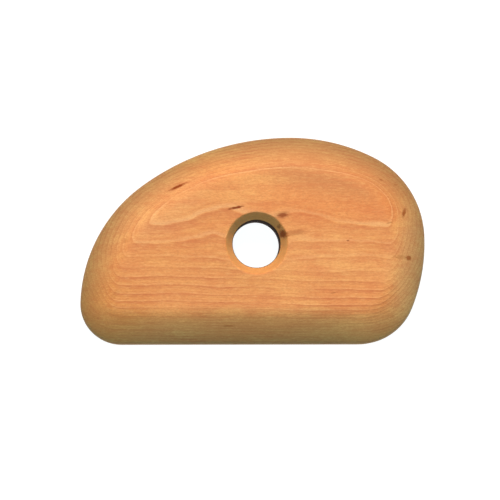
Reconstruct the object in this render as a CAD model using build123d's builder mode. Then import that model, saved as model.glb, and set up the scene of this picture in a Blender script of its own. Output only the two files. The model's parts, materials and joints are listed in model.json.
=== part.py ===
from build123d import *
from math import atan, degrees, sqrt, tan
import os

# A potter's rib: one flat piece of close-grained hardwood that shapes and smooths wet clay.
# It lies on its flat back. The thumb and fingers hold it through the hole in the middle.
# X runs along the length, and the straight working edge faces -Y.
# The origin is on the hole's axis, at the flat back.

# Overall size, in millimetres.
rib_length = 108.0
rib_width = 65.0
rim_thickness = 8.0
crown_height = 6.0

# Outline: the straight edge runs from a heel on the left to a toe on the right.
# From the toe the right end swells to its widest point, turns a broad shoulder and
# climbs to the top of the back. A long curve then falls to the upright left end.
top_from_right = 42.0
widest_below_top = 32.9
shoulder_in = 3.0
shoulder_below_top = 15.0
toe_in = 10.4
left_end_height = 11.8
left_end_flattening = 6.2
shoulder_radius = 28.8
toe_radius = 18.0
heel_radius = 12.7

# Bevel round the front face, and the softened edges.
bevel_run = 9.0
ridge_radius = 10.0
rim_edge_radius = 2.5
back_edge_radius = 0.8

# Finger hole, with a steep countersink on the front.
hole_from_left = 54.9
hole_from_edge = 31.2
hole_radius = 7.4
sink_run = 2.2
sink_depth = 4.0
hole_back_easing = 0.5

outline_plane = Plane(origin=(-hole_from_left, -hole_from_edge, 0))

# Points of the outline, measured from the corner of the box round it.
top = (rib_length - top_from_right, rib_width)
widest = (rib_length, rib_width - widest_below_top)
shoulder = (rib_length - shoulder_in, rib_width - shoulder_below_top)
toe = (rib_length - toe_in, 0)
left_end = (0, left_end_height)

# The left end's arc is a little tighter than the rise above it, which leaves room for the
# long curve. That one is level at the top and touches the end's arc at the knee: its radius
# is the one for which the distance between the two centres is the difference of the radii.
curve_rise = rib_width - left_end_height
left_end_radius = curve_rise - left_end_flattening
heel = (left_end_radius - sqrt(left_end_radius**2 - left_end_height**2), 0)
end_centre = Vector(left_end_radius, left_end_height)
centre_offset = top[0] - left_end_radius
radius_terms = centre_offset**2 + curve_rise**2 - left_end_radius**2
curve_radius = radius_terms / (2 * left_end_flattening)
curve_centre = Vector(top[0], rib_width - curve_radius)
knee = curve_centre + (end_centre - curve_centre).normalized() * curve_radius

# The rounding of the ridge is limited by the room inside the tight curve of the heel.
thickness = rim_thickness + crown_height
ridge_turn = atan(crown_height / bevel_run)
ridge_room = 0.95 * (heel_radius - bevel_run) / tan(ridge_turn / 2)
ridge_softening = min(ridge_radius, ridge_room)
sink_angle = 2 * degrees(atan(sink_run / sink_depth))

with BuildPart() as wooden_rib:
    with BuildSketch(outline_plane) as outline:
        with BuildLine():
            Line(heel, toe)
            TangentArc(widest, toe, tangent=(0, -1))
            TangentArc(widest, shoulder, tangent=(0, 1))
            TangentArc(top, shoulder, tangent=(1, 0))
            TangentArc(top, knee, tangent=(-1, 0))
            TangentArc(left_end, knee, tangent=(0, 1))
            TangentArc(left_end, heel, tangent=(0, -1))
        make_face()
        fillet(outline.vertices().sort_by_distance(shoulder)[0], shoulder_radius)
        fillet(outline.vertices().sort_by_distance(toe)[0], toe_radius)
        fillet(outline.vertices().sort_by_distance(heel)[0], heel_radius)
    extrude(amount=thickness)

    # The bevel falls from the front face to the upright rim, all the way round.
    front = wooden_rib.faces().sort_by(Axis.Z)[-1]
    chamfer(front.edges(), length=bevel_run, length2=crown_height, reference=front)
    front = wooden_rib.faces().sort_by(Axis.Z)[-1]
    fillet(front.edges(), ridge_softening)

    # The rim's upper arris is well rounded, and the back's arris is just rubbed down.
    rim_top = wooden_rib.edges().filter_by(Plane.XY).group_by(Axis.Z)[1]
    fillet(rim_top, rim_edge_radius)
    back = wooden_rib.faces().sort_by(Axis.Z)[0]
    fillet(back.edges(), back_edge_radius)

    # The hole is bored right through and countersunk from the front.
    with Locations((0, 0, thickness)):
        CounterSinkHole(hole_radius, hole_radius + sink_run, counter_sink_angle=sink_angle)
    back = wooden_rib.faces().sort_by(Axis.Z)[0]
    fillet(back.inner_wires()[0].edges(), hole_back_easing)

wooden_rib.part.label = "wooden_rib"

os.makedirs("parts", exist_ok=True)
export_step(wooden_rib.part, "parts/wooden_rib.step")
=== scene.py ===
import json
from math import atan2, cos, pi, radians, sin, sqrt

import bpy
from mathutils import Matrix, Vector, noise
from mathutils.bvhtree import BVHTree


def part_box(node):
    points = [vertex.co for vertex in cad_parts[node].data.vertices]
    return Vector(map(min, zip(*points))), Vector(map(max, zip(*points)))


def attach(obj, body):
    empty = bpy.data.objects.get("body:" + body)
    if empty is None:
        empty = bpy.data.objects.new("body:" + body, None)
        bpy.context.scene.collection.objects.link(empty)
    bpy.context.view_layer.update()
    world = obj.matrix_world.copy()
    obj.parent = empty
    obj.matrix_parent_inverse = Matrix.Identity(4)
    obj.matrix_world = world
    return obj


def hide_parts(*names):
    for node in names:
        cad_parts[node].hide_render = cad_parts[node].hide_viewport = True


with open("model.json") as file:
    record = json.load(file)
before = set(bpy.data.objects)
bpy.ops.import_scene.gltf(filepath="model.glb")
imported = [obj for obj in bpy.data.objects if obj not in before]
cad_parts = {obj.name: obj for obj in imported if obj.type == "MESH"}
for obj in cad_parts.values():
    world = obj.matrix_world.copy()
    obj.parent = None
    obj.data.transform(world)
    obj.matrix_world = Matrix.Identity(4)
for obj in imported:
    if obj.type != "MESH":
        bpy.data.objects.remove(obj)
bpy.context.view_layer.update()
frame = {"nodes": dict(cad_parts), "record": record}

# A potter's rib in pearwood: flat back, bevelled front, countersunk finger hole.
# Everything is in metres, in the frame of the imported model: the rib lies on its flat back,
# its straight edge faces -Y and the hole's axis is the Z axis.

MM = 0.001

rib_low, rib_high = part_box("wooden_rib")
rib_centre = (rib_low + rib_high) / 2
thickness = rib_high.z - rib_low.z
mounts = {mount["name"]: mount for mount in frame["record"]["mounts"]}
hole_radius = mounts["finger_hole"]["dims"]["r_mm"] * MM

# Section of the rib, from the back round the rim to the front and down the hole. The front
# edge is three arcs: a small arris, a bevel that is very slightly crowned, and a soft ridge.
back_arris = 0.8 * MM
arris_radius = 2.5 * MM
bevel_radius = 70 * MM
ridge_radius = 8 * MM
bevel_foot_slope = radians(37)
bevel_top_slope = radians(30)
sink_run = 2.2 * MM
sink_depth = 4.0 * MM
sink_lip = 0.35 * MM
sink_mouth = hole_radius + sink_run
hole_easing = 0.5 * MM

# Points in each ring of the skin.
around = 600


# ---------------------------------------------------------------- shape

def rim_outline():
    """Points of the rim's outline, evenly spaced anticlockwise, and their inward normals."""
    tree = BVHTree.FromObject(frame["nodes"]["wooden_rib"], bpy.context.evaluated_depsgraph_get())
    on_side = Vector((0, 0, 0.3 * thickness))
    clear_of_hole = 2 * hole_radius
    casts = 6 * around
    loop = []
    for i in range(casts):
        way = Vector((cos(2 * pi * i / casts), sin(2 * pi * i / casts), 0))
        hit = tree.ray_cast(way * clear_of_hole + on_side, way)[0]
        loop.append(Vector((hit.x, hit.y)))
    steps = [(loop[(i + 1) % casts] - loop[i]).length for i in range(casts)]
    spacing = sum(steps) / around
    points, walked, passed = [], 0.0, 0
    for i in range(around):
        while walked + steps[passed] < i * spacing:
            walked += steps[passed]
            passed += 1
        share = (i * spacing - walked) / steps[passed]
        points.append(loop[passed].lerp(loop[(passed + 1) % casts], share))
    return points, inward_normals(points)


def inward_normals(points):
    """Inward unit normals of a closed loop, taken over a few points and then evened out."""
    reach = 3
    evenings = 4
    count = len(points)
    facing = []
    for i in range(count):
        along = points[(i + reach) % count] - points[(i - reach) % count]
        facing.append(Vector((-along.y, along.x)).normalized())
    for _ in range(evenings):
        facing = [
            (facing[i - 1] + 2 * facing[i] + facing[(i + 1) % count]).normalized()
            for i in range(count)
        ]
    return facing


def hand(x, y, z, size, seed):
    """Slow unevenness left by hand sanding, between -1 and 1, with bumps about size wide."""
    return noise.noise(Vector((x / size + seed, y / size, z / size + 2 * seed)))


def edge_arcs():
    """The rim from its upright side to the flat front, as (distance in, drop) pairs."""
    # Each arc: its radius, the slopes that it starts and ends at, and its steps.
    arcs = [
        (arris_radius, radians(90), bevel_foot_slope, 10),
        (bevel_radius, bevel_foot_slope, bevel_top_slope, 18),
        (ridge_radius, bevel_top_slope, 0.0, 14),
    ]
    profile, inset, rise = [(0.0, 0.0)], 0.0, 0.0
    for radius, slope_from, slope_to, steps in arcs:
        for i in range(1, steps + 1):
            slope = slope_from + (slope_to - slope_from) * i / steps
            profile.append((
                inset + radius * (sin(slope_from) - sin(slope)),
                rise + radius * (cos(slope) - cos(slope_from)),
            ))
        inset, rise = profile[-1]
    return [(d, rise - h) for d, h in profile]


def hole_profile():
    """From the front face down the countersink and the bore to the back: (radius, height)."""
    throat = thickness - sink_depth
    throat_out = 0.06 * MM
    throat_soft = 0.12 * MM
    cone_steps, bore_steps, easing_steps = 9, 10, 4
    # The softened lip: how far out from the mouth and how far down, in shares of its width.
    lip = [(1.0, 0.0), (0.35, 0.12), (-0.12, 0.45)]
    path = [(sink_mouth + out * sink_lip, thickness - down * sink_lip) for out, down in lip]
    for i in range(1, cone_steps):
        share = i / cone_steps
        path.append((sink_mouth - sink_run * share, thickness - sink_depth * share))
    path.append((hole_radius + throat_out, throat + throat_soft))
    path.append((hole_radius, throat - throat_soft))
    for i in range(1, bore_steps + 1):
        path.append((hole_radius, throat - (throat - hole_easing) * i / bore_steps))
    for i in range(1, easing_steps + 1):
        turn = radians(90) * i / easing_steps
        path.append((hole_radius + hole_easing * (1 - cos(turn)), hole_easing * (1 - sin(turn))))
    return path


def rib_rings():
    """Closed rings of points that make the rib's skin, from the back outwards and round."""
    outline, inward = rim_outline()
    arcs = edge_arcs()
    hole = hole_profile()
    back_steps, corner_steps, side_steps, front_steps = 14, 5, 8, 44
    bevel_wave = 0.05
    wave_size = 18 * MM
    wave_seed = 3.1

    # A point of the hole's rings lies in the direction of the ridge's point outside it.
    ridge_inset = arcs[-1][0]
    bearings = [atan2(p.y + n.y * ridge_inset, p.x + n.x * ridge_inset) for p, n in zip(outline, inward)]

    def rim_ring(inset, height, wave=0.0):
        ring = []
        for point, normal in zip(outline, inward):
            wobble = 1 + wave * hand(point.x, point.y, 0, wave_size, wave_seed)
            spot = point + normal * inset * wobble
            ring.append(Vector((spot.x, spot.y, height)))
        return ring

    def hole_ring(radius, height):
        return [Vector((radius * cos(a), radius * sin(a), height)) for a in bearings]

    rings = []
    back_outer = rim_ring(back_arris, 0.0)
    back_inner = hole_ring(*hole[-1])
    for i in range(1, back_steps):
        rings.append([a.lerp(b, i / back_steps) for a, b in zip(back_inner, back_outer)])
    for i in range(corner_steps + 1):
        turn = radians(90) * i / corner_steps
        rings.append(rim_ring(back_arris * (1 - sin(turn)), back_arris * (1 - cos(turn))))
    rim_top = thickness - arcs[0][1]
    for i in range(1, side_steps):
        rings.append(rim_ring(0.0, back_arris + (rim_top - back_arris) * i / side_steps))
    for inset, drop in arcs:
        rings.append(rim_ring(inset, thickness - drop, bevel_wave))
    front_outer = rings[-1]
    front_inner = hole_ring(*hole[0])
    for i in range(1, front_steps):
        rings.append([a.lerp(b, i / front_steps) for a, b in zip(front_outer, front_inner)])
    for radius, height in hole:
        rings.append(hole_ring(radius, height))
    return rings


def sanded_away(p):
    """How deep the dips of sanding are at a point of the skin. They fade out down the rim and
    towards the hole."""
    fade_from, fade_over = 0.45, 0.3
    hole_margin = 4 * MM
    slow_mm, slow_size, slow_seed = 0.22, 17 * MM, 7.7
    fine_mm, fine_size, fine_seed = 0.05, 5 * MM, 1.3
    front = max(0.0, min(1.0, (p.z / thickness - fade_from) / fade_over))
    off_hole = min(1.0, max(0.0, (sqrt(p.x**2 + p.y**2) - hole_radius - sink_run) / hole_margin))
    slow = 0.5 + 0.5 * hand(p.x, p.y, p.z, slow_size, slow_seed)
    fine = 0.5 + 0.5 * hand(p.x, p.y, p.z, fine_size, fine_seed)
    return front * off_hole * (slow_mm * slow + fine_mm * fine) * MM


def carve_rib():
    """One closed skin of quads through the rings, sunk a little where sanding left dips."""
    rings = rib_rings()
    verts = [(p.x, p.y, p.z - sanded_away(p)) for ring in rings for p in ring]
    faces = []
    for r in range(len(rings)):
        near = r * around
        far = (r + 1) % len(rings) * around
        for i in range(around):
            j = (i + 1) % around
            faces.append((near + i, near + j, far + j, far + i))
    mesh = bpy.data.meshes.new("pearwood_rib")
    mesh.from_pydata(verts, [], faces)
    mesh.validate()
    mesh.polygons.foreach_set("use_smooth", [True] * len(mesh.polygons))
    mesh.update()
    rib = bpy.data.objects.new("pearwood_rib", mesh)
    bpy.context.scene.collection.objects.link(rib)
    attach(rib, "root")
    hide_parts("wooden_rib")
    return rib


# ---------------------------------------------------------------- finish

# Lengths in the finish are in mm. Inputs are keyed by a socket's name or by its number. On a
# MapRange, 1 and 2 are the range that it reads, and 3 and 4 the range that it gives. On a
# colour Mix, 0 is the share, 6 the colour below and 7 the colour laid on it.

def linear(hex_colour):
    """An sRGB hex colour as linear RGBA."""
    levels = [int(hex_colour[i:i + 2], 16) / 255 for i in (1, 3, 5)]
    flat = [v / 12.92 if v <= 0.04045 else ((v + 0.055) / 1.055) ** 2.4 for v in levels]
    return (*flat, 1.0)


def add(tree, kind, inputs, out=0, **settings):
    """Adds a shader node, sets it, fills or links its inputs, and gives back one output."""
    made = tree.nodes.new("ShaderNode" + kind)
    for name, value in settings.items():
        setattr(made, name, value)
    for key, value in inputs.items():
        if isinstance(value, bpy.types.NodeSocket):
            tree.links.new(value, made.inputs[key])
        else:
            made.inputs[key].default_value = value
    return made.outputs[out] if made.outputs else made


def grain(tree, per_mm, along, across, detail, roughness, start):
    """Noise drawn out with the wood: its patches are along mm long and across mm wide."""
    drawn_out = (1 / along, 1 / across, 1 / across)
    place = add(tree, "Mapping", {"Vector": per_mm, "Location": (start, 0, 0), "Scale": drawn_out})
    return add(tree, "TexNoise", {"Vector": place, "Scale": 1.0, "Detail": detail, "Roughness": roughness})


def patch(tree, per_mm, centre, reach, turn, ragged=0.0):
    """A soft oval: 1 in its middle, 0 past its reach in mm, turned by degrees on the face."""
    full = 0.35
    middle = {"Vector": per_mm, "Location": centre, "Rotation": (0, 0, radians(turn)), "Scale": reach}
    place = add(tree, "Mapping", middle, vector_type="TEXTURE")
    away = add(tree, "VectorMath", {0: place}, out="Value", operation="LENGTH")
    away = add(tree, "Math", {0: away, 1: ragged}, operation="ADD")
    fading = {"Value": away, 1: full, 2: 1.0, 3: 1.0, 4: 0.0}
    return add(tree, "MapRange", fading, interpolation_type="SMOOTHSTEP")


def stain(tree, tone, cover, depth, colour, way="MIX"):
    """Lays a colour on the tone: depth is how strong it is where cover is 1."""
    share = add(tree, "Math", {0: cover, 1: depth}, operation="MULTIPLY")
    layer = {0: share, 6: tone, 7: linear(colour)}
    return add(tree, "Mix", layer, out=2, data_type="RGBA", blend_type=way)


def growth_rings(tree, per_mm, fine_wave):
    """The dark late wood and the pale early wood of the rings, each between 0 and 1.
    The rings are wide cylinders about the heart of the log, which lay above the front and ran
    along the rib. So they meet the front as long open lines and one closed loop under the
    curved back, and run round the bevels like contour lines."""
    heart = (0.0, 15.0, 94.0)
    ring_width = 0.85
    log_taper = 0.008
    first_ring = 80.36
    innermost = 0.42
    from_heart = add(tree, "VectorMath", {0: per_mm, 1: heart}, operation="SUBTRACT")
    square_on = add(tree, "VectorMath", {0: from_heart, 1: (0, 1, 1)}, operation="MULTIPLY")
    distance = add(tree, "VectorMath", {0: square_on}, out="Value", operation="LENGTH")
    along = add(tree, "SeparateXYZ", {0: per_mm}, out="X")
    depth = add(tree, "Math", {0: along, 1: log_taper, 2: first_ring}, operation="MULTIPLY_ADD")
    depth = add(tree, "Math", {0: depth, 1: distance}, operation="SUBTRACT")

    # What bends the rings, and by how many mm: slow and fine waves, and two hollows.
    bends = [
        (grain(tree, per_mm, 55, 24, 1.0, 0.4, 4.3), 0.8),
        (fine_wave, 0.42),
        (patch(tree, per_mm, (-1, 7, 14), (30, 12, 30), 6), -0.62),
        (patch(tree, per_mm, (34, 3, 14), (34, 14, 30), 0), -0.5),
    ]
    for bend, height in bends:
        depth = add(tree, "Math", {0: bend, 1: height, 2: depth}, operation="MULTIPLY_ADD")

    # The innermost ring that the front meets is a broad one, so its middle is plain.
    count = add(tree, "Math", {0: depth, 1: ring_width}, operation="DIVIDE")
    count = add(tree, "Math", {0: count, 1: innermost}, operation="MINIMUM")
    ring = add(tree, "Math", {0: count}, operation="FLOOR")
    grown = add(tree, "Math", {0: count, 1: ring}, operation="SUBTRACT")

    # Each year is as strong as its season made it, and no ring is as strong all along.
    season = add(tree, "TexWhiteNoise", {"W": ring}, noise_dimensions="1D")
    strength = add(tree, "MapRange", {"Value": season, 3: 0.45, 4: 1.0})
    uneven = grain(tree, per_mm, 26, 9, 1.0, 0.5, 5.2)
    uneven = add(tree, "MapRange", {"Value": uneven, 1: 0.35, 2: 0.6, 3: 0.35, 4: 1.0})
    strength = add(tree, "Math", {0: strength, 1: uneven}, operation="MULTIPLY")

    # Late wood darkens towards the end of a ring and stops short.
    late_rise = 1.7
    late = {"Value": grown, 1: 0.35, 2: 0.95}
    late = add(tree, "MapRange", late, interpolation_type="SMOOTHSTEP")
    late = add(tree, "Math", {0: late, 1: late_rise}, operation="POWER")
    stop = add(tree, "MapRange", {"Value": grown, 1: 0.96, 2: 1.0, 3: 1.0, 4: 0.0})
    late = add(tree, "Math", {0: late, 1: stop}, operation="MULTIPLY")
    late = add(tree, "Math", {0: late, 1: strength}, operation="MULTIPLY")

    # Thin false rings part each year in three.
    parts = 3.0
    third = add(tree, "Math", {0: count, 1: parts}, operation="MULTIPLY")
    third = add(tree, "Math", {0: third}, operation="FRACT")
    third = add(tree, "MapRange", {"Value": third, 1: 0.55, 2: 1.0, 3: 0.0, 4: 0.3})
    late = add(tree, "Math", {0: late, 1: third}, operation="ADD")

    # Early wood starts pale. It is a broad pale band only where the rings lie nearly level.
    start = add(tree, "MapRange", {"Value": grown, 1: 0.0, 2: 0.04})
    early = {"Value": grown, 1: 0.07, 2: 0.25, 3: 1.0, 4: 0.0}
    early = add(tree, "MapRange", early, interpolation_type="SMOOTHSTEP")
    early = add(tree, "Math", {0: early, 1: start}, operation="MULTIPLY")
    early = add(tree, "Math", {0: early, 1: strength}, operation="MULTIPLY")
    level = add(tree, "MapRange", {"Value": ring, 1: -4.0, 2: -1.0, 3: 0.35, 4: 1.0})
    early = add(tree, "Math", {0: early, 1: level}, operation="MULTIPLY")
    return late, early


def wood_colour(tree, per_mm, fibres, vessels, late, early):
    """Colours of the wood, from the broad drifts of tone down to the fibres."""
    drift = grain(tree, per_mm, 48, 16, 2.0, 0.5, 6.0)
    mottle = grain(tree, per_mm, 11, 4, 3.0, 0.55, 2.0)
    streaks = grain(tree, per_mm, 30, 1.3, 2.0, 0.55, 9.0)
    drift = add(tree, "MapRange", {"Value": drift, 1: 0.35, 2: 0.65})
    mottle = add(tree, "MapRange", {"Value": mottle, 1: 0.38, 2: 0.7})
    streaks = add(tree, "MapRange", {"Value": streaks, 1: 0.45, 2: 0.7})
    fibres_dark = add(tree, "MapRange", {"Value": fibres, 1: 0.42, 2: 0.75})
    fibres_pale = add(tree, "MapRange", {"Value": fibres, 1: 0.5, 2: 0.25})
    vessels_dark = add(tree, "MapRange", {"Value": vessels, 1: 0.42, 2: 0.75})

    # Broad areas where the wood has another tone, and one strip of painted shade: centre, reach and turn,
    # depth and colour.
    areas = [
        ((30, -17, 14), (16, 8, 6), 0, 0.35, "#E2783E"),
        ((24, 15, 14), (32, 13, 8), 0, 0.5, "#E67C3E"),
        ((-25, -13, 14), (26, 10, 8), 0, 0.25, "#F4AA64"),
        ((24, 25, 12), (46, 14, 30), -10, 0.62, "#CC9056"),
        ((51, -8, 8), (14, 28, 20), 0, 0.32, "#EAC488"),
        ((-51, -5, 8), (14, 24, 20), 0, 0.2, "#E4B474"),
        ((-44, -20, 8), (18, 15, 20), 0, 0.4, "#D88838"),
        ((-32, 12, 12), (24, 15, 20), 25, 0.25, "#F6BC80"),
        # Painted shade: a dull olive strip on the bevel along the straight edge, the side away from the
        # key light.
        ((0, -28, 9), (58, 10, 20), 0, 0.32, "#BC9059"),
    ]
    tone = stain(tree, linear("#F2A85E"), drift, 1.0, "#FEBA6C")
    tone = stain(tree, tone, mottle, 0.55, "#DC7E48")
    for centre, reach, turn, depth, colour in areas:
        tone = stain(tree, tone, patch(tree, per_mm, centre, reach, turn), depth, colour)
    figure = [
        (streaks, 0.33, "#DC7A46"),
        (late, 0.6, "#BC5E36"),
        (early, 0.66, "#FCC484"),
        (fibres_dark, 0.3, "#CC7244"),
        (fibres_pale, 0.36, "#FFC67C"),
        (vessels_dark, 0.48, "#BC683C"),
    ]
    for cover, depth, colour in figure:
        tone = stain(tree, tone, cover, depth, colour)
    return tone


def paint_edge_shade(tree, per_mm, height, from_axis, painted_edge_shade, tone):
    """Painted shade on the sloping edges: a cool darkening laid on the colour, most of all high on the
    rim.
    """
    mouth = sink_mouth / MM
    paler = add(tree, "MapRange", {"Value": height, 1: 7.6, 2: 4.4, 3: 0.0, 4: 0.4})
    painted_edge_shade = add(tree, "Math", {0: painted_edge_shade, 1: paler}, operation="SUBTRACT")
    heel = patch(tree, per_mm, (42, -22, 8), (20, 15, 20), 0)
    heel_paler = -0.1
    painted_edge_shade = add(tree, "Math", {0: heel, 1: heel_paler, 2: painted_edge_shade}, operation="MULTIPLY_ADD")
    off_hole = add(tree, "MapRange", {"Value": from_axis, 1: mouth - 0.3, 2: mouth + 1.2})
    painted_edge_shade = add(tree, "Math", {0: painted_edge_shade, 1: off_hole}, operation="MULTIPLY")
    # The cool colour multiplied in here is painted shade, tinted like the cool overhead light.
    return stain(tree, tone, painted_edge_shade, 1.0, "#ADC8CB", way="MULTIPLY")


def natural_marks(tree, per_mm, tone):
    """Small flecks and pin knots in the front and the bevel, with ragged outlines."""
    ragged = grain(tree, per_mm, 1.2, 0.5, 2.0, 0.6, 3.0)
    ragged = add(tree, "MapRange", {"Value": ragged, 3: -0.45, 4: 0.45})
    into_wood = 5
    # Each mark: its centre, its reach along and across, its turn, and its depth.
    marks = [
        ((-24.7, 17.6, 13), (4.2, 0.62), 24, 1.0),
        ((-6.5, 11.0, 14), (3.4, 0.58), 12, 1.0),
        ((7.9, 8.7, 14), (1.9, 0.9), 8, 0.8),
        ((7.9, 8.7, 14), (3.4, 1.6), 8, 0.42),
        ((8.4, 2.9, 12), (2.2, 1.8), -30, 0.85),
        ((7.0, 5.2, 12), (0.9, 0.9), 0, 0.55),
        ((11.8, 3.2, 14), (5.0, 1.3), 8, 0.35),
        ((39.0, 20.0, 12), (0.9, 0.4), -15, 0.5),
        ((43.7, 18.6, 10), (0.8, 0.4), -30, 0.4),
        ((46.1, 9.6, 11), (2.1, 0.8), 72, 0.75),
        ((28.3, 0.8, 14), (0.6, 0.35), 0, 0.7),
        ((47.5, -4.5, 11), (1.3, 1.1), 0, 0.75),
        ((44.5, -4.3, 12), (3.0, 0.9), 0, 0.28),
        ((41.3, 6.3, 13), (1.4, 0.4), 10, 0.35),
        ((-8.8, -25.6, 10), (2.6, 0.5), 0, 0.35),
        ((23.6, -15.5, 14), (1.1, 0.3), 5, 0.4),
        ((-40.6, 0.8, 12), (1.4, 0.9), 40, 0.2),
        ((-43.7, -15.8, 11), (3.2, 1.6), 50, 0.2),
    ]
    for centre, (along, across), turn, depth in marks:
        mark = patch(tree, per_mm, centre, (along, across, into_wood), turn, ragged)
        tone = stain(tree, tone, mark, depth, "#8C3C06")
    return tone


def sanded_pearwood():
    """Pearwood, sawn flat, sanded by hand and wiped with oil. The eye gets a warm pink-orange
    wood, close-grained and satin, with faint rings and small dark flecks and knots. Painted shade
    darkens the sloping edges, the bevel along the straight edge and the bore."""
    material = bpy.data.materials.new("sanded_oiled_pearwood")
    material.use_nodes = True
    tree = material.node_tree
    tree.nodes.clear()
    place = add(tree, "TexCoord", {}, out="Object")
    per_mm = add(tree, "VectorMath", {0: place, "Scale": 1 / MM}, operation="SCALE")
    height = add(tree, "SeparateXYZ", {0: per_mm}, out="Z")
    on_face = add(tree, "VectorMath", {0: per_mm, 1: (1, 1, 0)}, operation="MULTIPLY")
    from_axis = add(tree, "VectorMath", {0: on_face}, out="Value", operation="LENGTH")

    # Pearwood's vessels are far too fine to show, so the fibres are drawn about 0.4 mm wide.
    fibres = grain(tree, per_mm, 2.6, 0.42, 3.0, 0.7, 0.0)
    vessels = grain(tree, per_mm, 0.75, 0.36, 3.0, 0.75, 8.0)
    fine_wave = grain(tree, per_mm, 16, 4.5, 2.0, 0.5, 1.1)
    late, early = growth_rings(tree, per_mm, fine_wave)

    # Below the flat front the bevels and the rim get painted shade, and the rings show less there.
    painted_edge_shade = add(tree, "MapRange", {"Value": height, 1: 13.9, 2: 6.8})
    clear = add(tree, "MapRange", {"Value": painted_edge_shade, 1: 0.0, 2: 0.3, 3: 1.0, 4: 0.7})
    late = add(tree, "Math", {0: late, 1: clear}, operation="MULTIPLY")
    early = add(tree, "Math", {0: early, 1: clear}, operation="MULTIPLY")
    tone = wood_colour(tree, per_mm, fibres, vessels, late, early)
    tone = paint_edge_shade(tree, per_mm, height, from_axis, painted_edge_shade, tone)

    # The countersink was cut clean across the grain and is yellower. The bore wall gets painted shade, a
    # near-black brown.
    bore, mouth = hole_radius / MM, sink_mouth / MM
    in_hole = add(tree, "MapRange", {"Value": from_axis, 1: mouth + 0.1, 2: mouth - 0.3})
    tone = stain(tree, tone, in_hole, 0.44, "#EAB464")
    bore_painted_shade = add(tree, "MapRange", {"Value": from_axis, 1: bore + 0.22, 2: bore + 0.06})
    tone = stain(tree, tone, bore_painted_shade, 1.0, "#341B02")
    tone = natural_marks(tree, per_mm, tone)

    # Satin: the oil fills the vessels, and the late wood stands a touch proud.
    relief = add(tree, "Math", {0: fibres, 1: vessels}, operation="ADD")
    relief = add(tree, "Math", {0: late, 1: relief}, operation="ADD")
    bump = add(tree, "Bump", {"Strength": 0.08, "Distance": 0.1 * MM, "Height": relief})
    sheen = add(tree, "MapRange", {"Value": fibres, 1: 0.2, 2: 0.8, 3: 0.5, 4: 0.62})
    # The bore's painted-shade mask also makes the bore fully rough.
    sheen = add(tree, "Math", {0: sheen, 1: bore_painted_shade}, operation="MAXIMUM")
    skin = {"Base Color": tone, "Roughness": sheen, "IOR": 1.45, "Specular IOR Level": 0.2, "Normal": bump}
    shader = add(tree, "BsdfPrincipled", skin)
    add(tree, "OutputMaterial", {"Surface": shader})
    return material


def light_board():
    """A matt white board, lit a little from below, as on a light table: it stays plain white."""
    material = bpy.data.materials.new("opal_light_board")
    material.use_nodes = True
    tree = material.node_tree
    tree.nodes.clear()
    board = {"Base Color": linear("#8C8C8C"), "Roughness": 0.9, "Specular IOR Level": 0.0}
    board |= {"Emission Color": linear("#FFFFFF"), "Emission Strength": 0.92}
    shader = add(tree, "BsdfPrincipled", board)
    add(tree, "OutputMaterial", {"Surface": shader})
    return material


# ---------------------------------------------------------------- stage

def lay_floor():
    """A wide white board, turned up far away, so that a low view ends in white too."""
    half, lip = 3.6, 0.45
    under_rib = 0.02 * MM
    mesh = bpy.data.meshes.new("floor")
    corners = [(-half, -half), (half, -half), (half, half), (-half, half)]
    verts = [(x, y, z) for z in (0.0, lip) for x, y in corners]
    faces = [(0, 1, 2, 3)]
    for i in range(4):
        j = (i + 1) % 4
        faces.append((i, i + 4, j + 4, j))
    mesh.from_pydata(verts, [], faces)
    mesh.materials.append(light_board())
    floor = bpy.data.objects.new("floor", mesh)
    floor.location.z = rib_low.z - under_rib
    bpy.context.scene.collection.objects.link(floor)


def soft_light(name, towards, distance, size, power, colour):
    """A square soft light, placed in the direction towards, seen from the rib, and aimed at it."""
    data = bpy.data.lights.new(name, "AREA")
    data.shape = "SQUARE"
    data.size = size
    data.energy = power
    data.color = colour
    lamp = bpy.data.objects.new(name, data)
    away = Vector(towards).normalized()
    lamp.location = rib_centre + away * distance
    lamp.rotation_euler = away.to_track_quat("Z", "Y").to_euler()
    bpy.context.scene.collection.objects.link(lamp)


def light_stage():
    """A warm key from beyond the curved back, and a cool soft box overhead."""
    world = bpy.data.worlds.new("studio")
    world.use_nodes = True
    backdrop = world.node_tree.nodes["Background"]
    backdrop.inputs["Color"].default_value = (0.85, 0.95, 1.0, 1.0)
    backdrop.inputs["Strength"].default_value = 0.06
    bpy.context.scene.world = world
    warm = (1.0, 0.75, 0.66)
    cool = (0.44, 0.84, 1.0)
    key_height = radians(48)
    beyond_back = (0.0, cos(key_height), sin(key_height))
    above = (0.0, -0.08, 1.0)
    soft_light("key", beyond_back, distance=1.2, size=0.5, power=15.2, colour=warm)
    soft_light("overhead", above, distance=1.2, size=0.6, power=7.4, colour=cool)


def place_camera():
    """Nearly straight above, tipped a little towards the straight edge and the left end."""
    tip_front = radians(4.0)
    tip_left = radians(2.0)
    distance = 0.6
    frame_width = 156.6 * MM
    aim_left = 1.0 * MM
    aim_front = 3.0 * MM
    data = bpy.data.cameras.new("camera")
    data.sensor_width = 36
    data.lens = data.sensor_width * distance / frame_width
    data.clip_start = 0.01
    camera = bpy.data.objects.new("camera", data)
    aim = Vector((rib_centre.x - aim_left, rib_centre.y - aim_front, thickness / 2))
    back = Vector((-sin(tip_left), -sin(tip_front), 1)).normalized()
    right = Vector((1, 0, 0))
    up = back.cross(right).normalized()
    right = up.cross(back)
    turn = Matrix((right, up, back)).transposed()
    camera.matrix_world = Matrix.Translation(aim + back * distance) @ turn.to_4x4()
    bpy.context.scene.collection.objects.link(camera)
    bpy.context.scene.camera = camera


scene = bpy.context.scene
scene.view_settings.view_transform = "Standard"
scene.view_settings.look = "None"

lay_floor()
light_stage()
place_camera()
rib = carve_rib()
rib.data.materials.append(sanded_pearwood())
